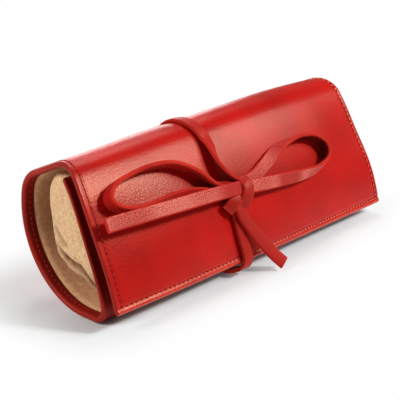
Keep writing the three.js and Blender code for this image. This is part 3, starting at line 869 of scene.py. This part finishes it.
def skin_line(first, last, x):
    """Centres and normals of the lace where it lies round the cover."""
    centres = []
    normals = []
    for s in spread(first, last, 2.0):
        slack = ROOF_SLACK * bell(s, *SLACK_ACROSS)
        centre, _, out = cover_frame(x, s, LACE_SINK - LACE_LIFT - slack)
        centre[2] = max(centre[2] - channel_lift(x, s), LACE_LIFT)
        centres.append(centre)
        normals.append(out)
    return centres, normals


RIDGED_BEND = (44.0, 108.0)
RIDGE_PITCH = 2.6
RIDGE_HEIGHT = 0.32
RIDGE_FADE = 8
WORN_RIGHT = [(50.0, 18.0), (128.0, 11.0)]
GRAIN_UP = [LACE_RED, LACE_EDGE, LACE_FLESH]
FLESH_UP = [LACE_FLESH, LACE_EDGE, LACE_SHADE_DARK]
BOTH_GRAIN = [LACE_RED, LACE_EDGE, LACE_RED]
SHADE_BELOW = [LACE_RED, LACE_EDGE, LACE_SHADE_DARK]

band_height = GAP + 5.0 + LACE_LIFT
crest_rise = flap_length + (tie_top.crest_angle - fold_angle) * tie_top.crest_radius

ROUTE_LOWER = [
    [-17.4, 31.0, 2.6, 0], [-20.8, 25.4, LACE_LIFT, 0], [-21.4, 14.0, LACE_LIFT, 0],
    [-20.6, 6.0, LACE_LIFT, 0], [-20.4, 1.4, LACE_LIFT, 0], [-21.0, -2.0, 0.6, 0], [-23.0, -4.0, -1.8, 0],
    [TIE_X, -4.6, -6.0, 0], [TIE_X, -4.3, -11.6, 0],
]
ROUTE_BAND = [
    [-14.6, 40.0, 3.0, 0], [-14.6, 39.0, 5.4, 0], [-14.0, 36.6, band_height + 0.4, 0],
    [-14.3, 33.6, band_height + 0.9, 0], [-16.4, 30.4, band_height + 0.4, 0], [-18.8, 27.6, 5.2, 0],
    [-19.8, 26.0, 3.0, 0],
]
ROUTE_STUB = [
    [-16.0, 33.4, 4.2, 8], [-19.4, 32.4, 5.2, 8], [-22.6, 31.0, 5.2, 8], [-25.4, 29.0, 4.4, 4],
    [-28.2, 26.8, 2.2, 0],
]
ROUTE_TAIL_LEFT = [
    [-14.0, 35.0, 4.6, 0], [-21.4, 35.6, 6.1, 0], [-42.0, 36.6, 7.3, 0], [-72.0, 37.8, 7.8, 0],
    [-103.4, 39.3, 4.6, 0],
]
ROUTE_LOOP_LEFT = [
    [-15.6, 36.8, 4.4, 30], [-24.0, 38.2, 4.4, 45], [-32.7, 41.6, 4.0, 66], [-42.7, 50.4, 3.9, 80],
    [-54.8, 56.4, 3.8, 88], [-68.7, 57.9, 3.6, 90], [-83.5, 56.5, 3.2, 90], [-92.5, 53.8, 2.9, 90],
    [-95.9, 49.2, 2.8, 90], [-92.4, 44.6, 2.9, 88], [-84.7, 41.9, 3.2, 84], [-74.0, 41.0, 3.6, 68],
    [-62.0, 41.0, 3.8, 44], [-48.0, 39.8, 3.0, 26], [-34.0, 36.8, 1.9, 10], [-22.0, 35.2, 1.7, 0],
    [-14.0, 35.0, 1.7, 0],
]
ROUTE_LOOP_RIGHT = [
    [-15.0, 36.0, 1.9, 0], [-7.0, 37.4, 2.0, 0], [0.6, 38.9, 2.4, -6], [11.0, 42.8, 2.8, -22],
    [19.6, 46.8, 3.3, -46], [27.5, 49.2, 3.7, -68], [39.0, 50.4, 3.8, -84], [51.0, 49.0, 3.8, -90],
    [58.6, 45.2, 3.8, -90], [61.4, 40.2, 3.8, -90], [58.4, 34.6, 3.9, -84], [48.0, 30.8, 4.2, -58],
    [33.4, 30.6, 4.6, -34], [20.0, 31.6, 4.9, -20], [5.0, 32.7, 5.4, -8], [-7.4, 33.9, 5.6, 0],
    [-14.0, 34.4, 4.8, 0],
]
ROUTE_TAIL_RIGHT = [
    [-20.6, 29.4, 4.0, 0], [-20.8, 24.4, 4.0, 0], [-17.8, 17.6, 3.6, 0], [-12.6, 8.6, 4.4, 0],
    [-6.6, -0.2, 6.2, 0], [-1.6, -6.6, 8.6, 0],
]
ROUTE_UPPER = [
    [TIE_X, crest_rise, LACE_LIFT, 0], [-23.2, flap_length, LACE_LIFT, -6], [-22.9, 60.0, 2.3, -20],
    [-23.8, 53.0, 3.0, -42], [-23.8, 48.0, 3.5, -64], [-22.6, 43.5, 3.5, -92], [-20.0, 40.0, 3.6, -112],
    [-16.0, 37.4, 3.7, -118],
]


def joined_line(first, second):
    return np.vstack([first[0], second[0]]), list(first[1]) + list(second[1])


base_start = bend_start["back"] - 9.0
tie_back_line = skin_line(base_start, ROOF_MIDDLE, TIE_X)
tie_roof_line = skin_line(ROOF_MIDDLE, bend_start["brow"] - 3.0, TIE_X)
tie_front_line = joined_line(tie_roof_line, route_line(ROUTE_UPPER, 60))

tie_back = lace("tie_back_lace", *tie_back_line, GRAIN_UP)
tie_front = lace("tie_front_lace", *tie_front_line, SHADE_BELOW)
tie_lower = lace("tie_lower_lace", *route_line(ROUTE_LOWER, 60, square=True), GRAIN_UP)
knot_band = lace("knot_band_lace", *route_line(ROUTE_BAND, 30), GRAIN_UP)
knot_stub = lace("knot_stub_lace", *route_line(ROUTE_STUB, 24), GRAIN_UP)

tail_left_line = route_line(ROUTE_TAIL_LEFT, 60)
loop_left_line = route_line(ROUTE_LOOP_LEFT, 140)
loop_right_line = route_line(ROUTE_LOOP_RIGHT, 320)
tail_right_line = route_line(ROUTE_TAIL_RIGHT, 50)
tail_left = lace("tail_left_lace", *tail_left_line, FLESH_UP, worn=[(6.0, 14.0)])
loop_left = lace("loop_left_lace", *loop_left_line, BOTH_GRAIN)
loop_right = lace("loop_right_lace", *loop_right_line, FLESH_UP, ridged=RIDGED_BEND, worn=WORN_RIGHT)
tail_right = lace("tail_right_lace", *tail_right_line, GRAIN_UP)

# Half the length, width and height of the knot's inside
KNOT_HALF = (5.2, 5.6, 2.5)


def knot_core():
    """The layers of lace inside the knot, as one rounded lump."""
    centre = over_flap(KNOT_X, KNOT_RISE, GAP + KNOT_HALF[2])
    rings = 14
    around = 22
    levels = math.pi * (np.arange(rings) + 0.5) / rings - math.pi / 2
    points = ellipsoid(centre, ALONG_ROLL, flap_normal(centre), KNOT_HALF, levels, around)
    faces = closed_faces(rings, around, True)
    return new_mesh("knot_core", points, faces, [LACE_RED], None, np.array(points)[:, [0, 2]])


knot_core_lump = knot_core()


# Pouch
def behind_panel(arc, depth):
    """A point behind the inner panel: arc down along it from just below the crest, depth from its lining."""
    return polar(front_centre, FRONT_RADIUS - COVER - GAP - depth, pouch_angle + arc / FRONT_RADIUS)


land_start = behind_panel(-0.3 * POUCH_RISE, 0.7 * POUCH_DEPTH)
land_end = behind_panel(0.33 * POUCH_REACH, POUCH_DEPTH)

# The pouch's outline above and below the zip: arc down along the panel and depth behind it
POUCH_UPPER = [
    (1.0, POUCH_FRONT), (-0.6 * POUCH_RISE, POUCH_FRONT), (-POUCH_RISE, 0.12 * POUCH_DEPTH),
    (-POUCH_RISE, 0.36 * POUCH_DEPTH),
]
POUCH_LOWER = [
    (0.48 * POUCH_REACH, POUCH_DEPTH), (0.7 * POUCH_REACH, 0.84 * POUCH_DEPTH),
    (0.9 * POUCH_REACH, 0.5 * POUCH_DEPTH), (1.08 * POUCH_REACH, POUCH_FRONT),
    (0.66 * POUCH_REACH, POUCH_FRONT), (0.33 * POUCH_REACH, POUCH_FRONT), (1.0, POUCH_FRONT),
]
# The same for the pouch's full ends beyond the zip
POUCH_END = [
    (1.0, POUCH_FRONT), (-4.5, -1.0), (-9.5, 2.2), (-12.4, 6.0), (-11.6, 11.6), (-8.8, 15.8), (-1.4, 20.5),
    (7.0, 23.8), (15.0, 26.4), (23.5, 28.0), (31.0, 26.4), (39.5, 18.2), (45.0, 11.6), (49.5, 6.0),
    (51.6, POUCH_FRONT), (34.0, POUCH_FRONT), (17.0, POUCH_FRONT), (1.0, POUCH_FRONT),
]
# Folds gathered at the foot of each end: two points (y, z) of the fold's line and its height
END_FOLDS = [
    ((25.5, 28.0), (20.0, 23.5), -3.0), ((20.0, 23.5), (9.0, 21.5), -3.4), ((9.0, 21.5), (0.0, 15.5), -2.6),
    ((23.0, 30.0), (12.0, 25.4), 1.2), ((18.0, 20.5), (11.0, 18.5), 1.2), ((27.0, 36.0), (19.0, 30.5), -1.4),
]
FOLD_WIDTH = 1.1
# Painted shade: how dark the hollows of the end folds and the foot of each end are painted, and the heights
# over which the foot darkens
PAINTED_FOLD_SHADE = 0.42
PAINTED_FOOT_SHADE = 0.4
FOOT_HEIGHTS = (27.0, 17.0)
# Rings of an end as shares of its rim, and how far the suede sinks: everywhere, in folds and in wrinkles
END_SHARES = np.linspace(0.04, 0.93, 26)
END_DEPTH = 6.0
END_SINK = (0.5, 0.35, 0.2)
SIDE_SINK = (0.2, 0.14, 0.06)
POUCH_CORNERS = 96
POUCH_STEP = 4.0


def end_fold(y, z):
    """How far the end of the pouch stands out, in folds along short lines."""
    out = 0.0
    for start, end, height in END_FOLDS:
        along = np.subtract(end, start)
        from_start = np.subtract((y, z), start)
        share = np.clip(from_start.dot(along) / along.dot(along), 0.0, 1.0)
        out += height * bell(np.linalg.norm(from_start - along * share), 0.0, FOLD_WIDTH)
    return out


def pouch():
    """The soft pouch: its outline lofted along the roll and drawn in over rounded ends."""
    upper = [behind_panel(*place) for place in POUCH_UPPER]
    lower = [behind_panel(*place) for place in POUCH_LOWER]
    full_end = [behind_panel(*place) for place in POUCH_END]
    zip_land = [land_start, (land_start + land_end) / 2, land_end]
    outline = spline(upper + zip_land + lower, POUCH_CORNERS + 1)[:-1]
    end_outline = spline(full_end, POUCH_CORNERS + 1)[:-1]
    middle = behind_panel(0.36 * POUCH_REACH, 0.5 * POUCH_DEPTH)
    end = HALF_LENGTH - POUCH_INSET
    stations = [(-end - POUCH_DOME * (1 - share**2), share) for share in END_SHARES]
    rim = END_SHARES[-1]
    for turn in np.radians(range(10, 91, 10)):
        stations.append((-end + POUCH_EDGE * (1 - math.cos(turn)), rim + (1 - rim) * math.sin(turn)))
    inside = end - POUCH_EDGE - POUCH_STEP
    mirrored = [(-x, share) for x, share in reversed(stations)]
    stations += [(x, 1.0) for x in spread(-inside, inside, POUCH_STEP)]
    points = []
    for x, share in stations + mirrored:
        flare = smooth(*POUCH_FLARE, abs(x))
        for p in outline * (1 - flare) + end_outline * flare:
            y, z = middle + (p - middle) * share
            points.append((x, y, z))
    points = np.array(points)
    for i, (x, y, z) in enumerate(points):
        fold = noise.noise(Vector((x / 9.0, y / 7.0 + z / 16.0, z / 22.0 - y / 20.0)))
        wrinkle = noise.noise(Vector((x / 3.0, y / 3.2, z / 3.2)))
        inward = np.array([0.0, middle[0] - y, middle[1] - z])
        reach = np.linalg.norm(inward) + 1e-6
        near_end = bell(abs(x), end, END_DEPTH)
        points[i] += inward / reach * np.dot(SIDE_SINK, (1.0, fold, wrinkle))
        sink = np.dot(END_SINK, (1.0, fold, wrinkle)) - end_fold(y, z)
        points[i][0] += math.copysign(1.0, -x) * near_end * sink
    faces = closed_faces(len(points) // len(outline), len(outline), True)
    made = new_mesh("pouch", settle(points), faces, [PALE_SUEDE])
    # Painted shade in the hollows of the folds and towards the foot of each end, carried by the crease
    # attribute
    painted_shades = []
    for x, y, z in points:
        foot = PAINTED_FOOT_SHADE * smooth(*FOOT_HEIGHTS, z)
        painted_shades.append(smooth(*POUCH_FLARE, abs(x)) * (foot - PAINTED_FOLD_SHADE * min(end_fold(y, z), 0.0)))
    paint(made, "crease", painted_shades)
    return made


pouch_body = pouch()

# Zip
zip_across = unit(land_end - land_start)
zip_out = np.array([-zip_across[1], zip_across[0]])
zip_middle = (land_start + land_end) / 2
if zip_out.dot(behind_panel(0, 0) - zip_middle) > 0:
    zip_out = -zip_out


def zip_point(x, across, out):
    y, z = zip_middle + zip_across * across + zip_out * out
    return (x, y, z)


def zip_boxes(name, boxes, finish):
    """Boxes in the zip's own frame: middle x, across, foot, then length, width and height."""
    points = []
    faces = []
    for x, across, foot, length, width, height in boxes:
        a = len(points)
        for level in (0, 1):
            for side_x, side_w in ((-1, -1), (1, -1), (1, 1), (-1, 1)):
                side = across + side_w * width / 2
                points.append(zip_point(x + side_x * length / 2, side, foot + level * height))
        faces += [(a, a + 1, a + 2, a + 3), (a + 7, a + 6, a + 5, a + 4)]
        faces += [(a + i, a + 4 + i, a + 4 + (i + 1) % 4, a + (i + 1) % 4) for i in range(4)]
    obj = new_mesh(name, points, faces, [finish.made])
    obj.data.polygons.foreach_set("use_smooth", [False] * len(obj.data.polygons))
    return obj


def zip_side(sign, label):
    """The tape and the row of teeth on one side of the zip."""
    tape_middle = sign * (TAPE_WIDTH + GAP) / 2
    tape_box = (0.0, tape_middle, GAP, ZIP_LENGTH, TAPE_WIDTH, TAPE_THICKNESS)
    run = ZIP_LENGTH - 2 * STOP_LENGTH - 2 * GAP
    shift = sign * TOOTH_PITCH / 4
    teeth_middle = sign * (TEETH_WIDTH + GAP) / 2
    tooth = (teeth_middle, 2 * GAP + TAPE_THICKNESS, TOOTH_LENGTH, TEETH_WIDTH, TEETH_HEIGHT)
    places = np.arange(-run / 2 + TOOTH_PITCH, run / 2 - TOOTH_PITCH / 2, TOOTH_PITCH)
    tape = zip_boxes(f"zip_tape_{label}_weave", [tape_box], CLOTH)
    teeth = zip_boxes(f"zip_teeth_{label}_row", [(x + shift, *tooth) for x in places], BRASS)
    return tape, teeth


tape_front, teeth_front = zip_side(-1, "front")
tape_back, teeth_back = zip_side(1, "back")


for obj in (cover_front, lining_front, stitches_front, tie_front):
    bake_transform(obj)
for obj in (cover_back, lining_back, stitches_back, tie_back):
    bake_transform(obj)
for obj in (cover_inner, lining_inner):
    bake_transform(obj)
for obj in (tie_lower, knot_band, knot_stub, knot_core_lump):
    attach(obj, "flap")
for obj in (pouch_body, tape_front, tape_back, teeth_front, teeth_back):
    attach(obj, "inner")


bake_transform(loop_left)
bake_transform(tail_left)
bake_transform(loop_right)
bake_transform(tail_right)

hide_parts("flap_leather", "roof_leather")
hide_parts("wrap_leather")
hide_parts("inner_panel_leather")
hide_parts("flap_lining", "roof_lining")
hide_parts("wrap_lining")
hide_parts("inner_panel_lining")
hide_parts("pouch_shell")
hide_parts("zip_tape_front")
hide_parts("zip_tape_back")
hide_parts("zip_teeth_front")
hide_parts("zip_teeth_back")
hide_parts("tie_back")
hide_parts("tie_roof", "tie_front_upper")
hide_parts("tie_front_lower")
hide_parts("knot_bead")
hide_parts("knot_band")
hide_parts("knot_stub")
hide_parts("bow_loop_left")
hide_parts("bow_loop_right")
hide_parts("tie_tail_left")
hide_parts("tie_tail_right")

for node in ("zip_slider", "zip_pull_bridge", "zip_pull", "zip_stop_left", "zip_stop_right"):
    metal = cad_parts[node]
    metal.data.materials.clear()
    metal.data.materials.append(BRASS.made)


# Floor and light
FOOTPRINT_MIDDLE = (0.0, 0.023, 0.0)
FOOTPRINT_HALF = (0.104, 0.022, 0.0)
SHADOW_REACH = (0.004, 0.055)
FLOOR_SIZE = 8.0
FLOOR_DROP = 0.0002
WHITE = (1.0, 1.0, 1.0, 1.0)
SKY_LIGHT = 0.06
SEEN_WHITE = 1.0

bpy.ops.mesh.primitive_plane_add(size=FLOOR_SIZE, location=(0, 0, -FLOOR_DROP))
floor = bpy.context.object
floor.name = "floor"
# Painted shade: the floor's base is a light grey with a little cyan, which deepens the shade near the roll
# and offsets the pink light bounced off the leather; further out it gives way to the white backdrop
FLOOR = Finish("white floor", (0.8, 0.83, 0.83, 1.0), 0.9, 0.1)
speckle = FLOOR.texture("Noise", 60.0, "Object")
FLOOR.tone(speckle, (0.79, 0.82, 0.82, 1.0), (0.81, 0.84, 0.84, 1.0))

# The floor turns to plain white with the distance from the roll's footprint
from_middle = FLOOR.compute_vector("SUBTRACT", FLOOR.place.outputs["Object"], FOOTPRINT_MIDDLE)
past_edge = FLOOR.compute_vector("SUBTRACT", FLOOR.compute_vector("ABSOLUTE", from_middle), FOOTPRINT_HALF)
outside = FLOOR.compute_vector("MAXIMUM", past_edge, (0.0, 0.0, 0.0))
distance = FLOOR.compute_vector("LENGTH", outside, output="Value")
far = FLOOR.nodes.new("ShaderNodeMapRange")
far.interpolation_type = "SMOOTHSTEP"
put(far, dict(zip(("From Min", "From Max"), SHADOW_REACH)))
FLOOR.links.new(distance, far.inputs["Value"])
ray = FLOOR.nodes.new("ShaderNodeLightPath").outputs
seen_ray = FLOOR.compute("MAXIMUM", ray["Is Camera Ray"], ray["Is Glossy Ray"])
white_share = FLOOR.compute("MULTIPLY", far.outputs["Result"], seen_ray)
backdrop = FLOOR.nodes.new("ShaderNodeEmission")


def mix_shaders(tree, output, share, first, second):
    """Send a mix of the shaders of two nodes to the output of a node tree."""
    mix = tree.nodes.new("ShaderNodeMixShader")
    for socket, source in zip(mix.inputs, (share, first.outputs[0], second.outputs[0])):
        tree.links.new(source, socket)
    tree.links.new(mix.outputs["Shader"], tree.nodes[output].inputs["Surface"])


mix_shaders(FLOOR.made.node_tree, "Material Output", white_share, FLOOR.shader, backdrop)
floor.data.materials.append(FLOOR.made)


def softbox(name, place, target, size, power):
    data = bpy.data.lights.new(name, "AREA")
    data.shape = "RECTANGLE"
    data.size, data.size_y = size
    data.energy = power
    obj = bpy.data.objects.new(name, data)
    obj.location = place
    aim = Vector(target) - Vector(place)
    obj.rotation_euler = aim.to_track_quat("-Z", "Y").to_euler()
    bpy.context.scene.collection.objects.link(obj)


softbox("overhead softbox", (0.5, 0.45, 1.1), (0.0, 0.0, 0.0), (0.6, 0.6), 4.6)
softbox("key softbox", (0.62, -0.92, 0.9), (0.0, 0.0, 0.03), (0.2, 0.2), 13.2)
softbox("sheen softbox", (0.84, -0.66, 0.78), (0.0, 0.0, 0.03), (0.5, 0.24), 5.7)
softbox("back strip", (0.36, 1.05, 0.34), (0.0, 0.0, 0.05), (1.2, 0.5), 6.5)
softbox("left fill", (-0.9, 0.27, 0.66), (-0.1, 0.0, 0.03), (0.4, 0.4), 7.6)

world = bpy.data.worlds.new("studio")
world.use_nodes = True
bpy.context.scene.world = world
studio = world.node_tree
sky = studio.nodes["Background"]
seen = studio.nodes.new("ShaderNodeBackground")
for node, strength in ((sky, SKY_LIGHT), (seen, SEEN_WHITE)):
    put(node, {"Color": WHITE, "Strength": strength})
ray = studio.nodes.new("ShaderNodeLightPath").outputs
mix_shaders(studio, "World Output", ray["Is Camera Ray"], sky, seen)

# Camera
camera_data = bpy.data.cameras.new("camera")
camera_data.sensor_width = 36.0
camera_data.lens = 76.5
camera = bpy.data.objects.new("camera", camera_data)
camera.location = (-0.3270, -0.2664, 0.1756)
camera.rotation_euler = Euler((math.radians(70.93), 0.0, math.radians(-47.81)))
bpy.context.scene.collection.objects.link(camera)
bpy.context.scene.camera = camera
bpy.context.scene.view_settings.view_transform = "Standard"
